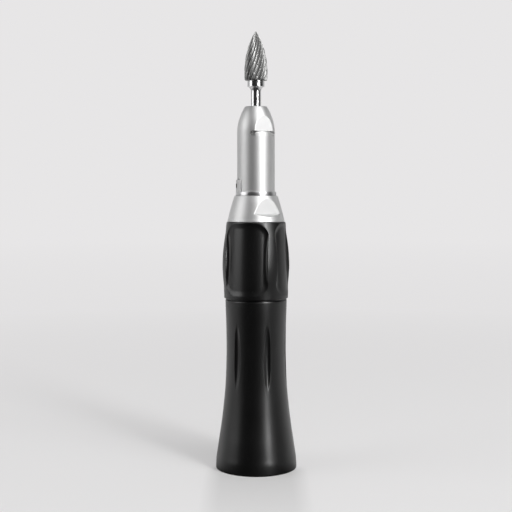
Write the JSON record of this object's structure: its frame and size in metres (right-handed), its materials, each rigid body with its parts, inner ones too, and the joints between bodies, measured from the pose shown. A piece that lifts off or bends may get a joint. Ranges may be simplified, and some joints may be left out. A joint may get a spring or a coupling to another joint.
{
  "type": "dental straight handpiece",
  "caption": "Slim straight handpiece with a flared black grip, a twist ring that opens its collet chuck, a silver nose and a removable fluted bur.",
  "frame": {"origin": "centre of the rear face, on the motor coupling's axis, where the handpiece stands", "axes": "+Z along the spindle axis from the motor end to the bur; -Y faces the viewer, +X to the viewer's right"},
  "size_m": [0.019, 0.019, 0.1018],
  "materials": {
    "black_anodised": "black satin anodised",
    "satin_silver": "fine satin blast",
    "polished_steel": "polished",
    "bright_steel": "turned",
    "inner_steel": "turned",
    "bearing_steel": "ground",
    "spring_steel": "oil tempered",
    "cage_plastic": "phenolic",
    "seal_rubber": "matte",
    "bush_bronze": "sintered",
    "bur_chrome": "polished",
    "bur_carbide": "ground carbide"
  },
  "bodies": {
    "housing": {"rear_sleeve": "black_anodised", "coupling_socket": "bright_steel", "core_tube": "inner_steel", "stop_ring": "black_anodised", "cone_nut": "satin_silver", "nose_collar": "polished_steel", "nose_housing": "satin_silver", "locating_key": "polished_steel", "front_bearing_outer_ring": "bearing_steel", "rear_bearing_outer_ring": "bearing_steel", "outer_spacer": "inner_steel", "bearing_nut": "inner_steel", "front_seal": "seal_rubber", "tail_bush": "bush_bronze"},
    "twist_ring": {"grip_ring": "black_anodised", "cam_sleeve": "inner_steel"},
    "pusher": {"push_sleeve": "inner_steel", "cam_pins": "bearing_steel"},
    "spindle": {"spindle": "inner_steel", "front_bearing_inner_ring": "bearing_steel", "rear_bearing_inner_ring": "bearing_steel", "inner_spacer": "inner_steel", "spindle_nut": "inner_steel", "drive_dog": "bright_steel"},
    "chuck": {"collet": "bright_steel", "drawbar": "inner_steel", "cross_pin": "bearing_steel", "thrust_collar": "inner_steel", "chuck_spring": "spring_steel"},
    "front_ball_set": {"front_bearing_balls": "bearing_steel", "front_bearing_cage": "cage_plastic"},
    "rear_ball_set": {"rear_bearing_balls": "bearing_steel", "rear_bearing_cage": "cage_plastic"},
    "bur": {"bur_shank": "bur_chrome", "bur_head": "bur_carbide"}
  },
  "joints": [
    {"name": "grip_twist", "type": "hinge", "parent": "housing", "child": "twist_ring", "pos_m": [0, 0, 0.04895], "axis": [0, 0, 1], "range_deg": [0, 35]},
    {"name": "pusher_lift", "type": "slide", "parent": "housing", "child": "pusher", "axis": [0, 0, 1], "range_m": [0, 0.0009]},
    {"name": "spindle_spin", "type": "hinge", "parent": "housing", "child": "spindle", "pos_m": [0, 0, 0.0665], "axis": [0, 0, 1], "continuous": true},
    {"name": "chuck_open", "type": "slide", "parent": "spindle", "child": "chuck", "axis": [0, 0, 1], "range_m": [0, 0.0009], "deforming": ["chuck_spring"]},
    {"name": "front_cage_roll", "type": "hinge", "parent": "housing", "child": "front_ball_set", "pos_m": [0, 0, 0.07623], "axis": [0, 0, 1], "continuous": true},
    {"name": "rear_cage_roll", "type": "hinge", "parent": "housing", "child": "rear_ball_set", "pos_m": [0, 0, 0.05803], "axis": [0, 0, 1], "continuous": true},
    {"name": "bur_withdraw", "type": "slide", "parent": "chuck", "child": "bur", "axis": [0, 0, 1], "range_m": [0, 0.03]}
  ],
  "couplings": [
    {"joint": "pusher_lift", "follows": "grip_twist", "m_per_rad": 0.0014733},
    {"joint": "chuck_open", "follows": "grip_twist", "m_per_rad": 0.0014733},
    {"joint": "front_cage_roll", "follows": "spindle_spin", "ratio": 0.4266},
    {"joint": "rear_cage_roll", "follows": "spindle_spin", "ratio": 0.4266}
  ]
}
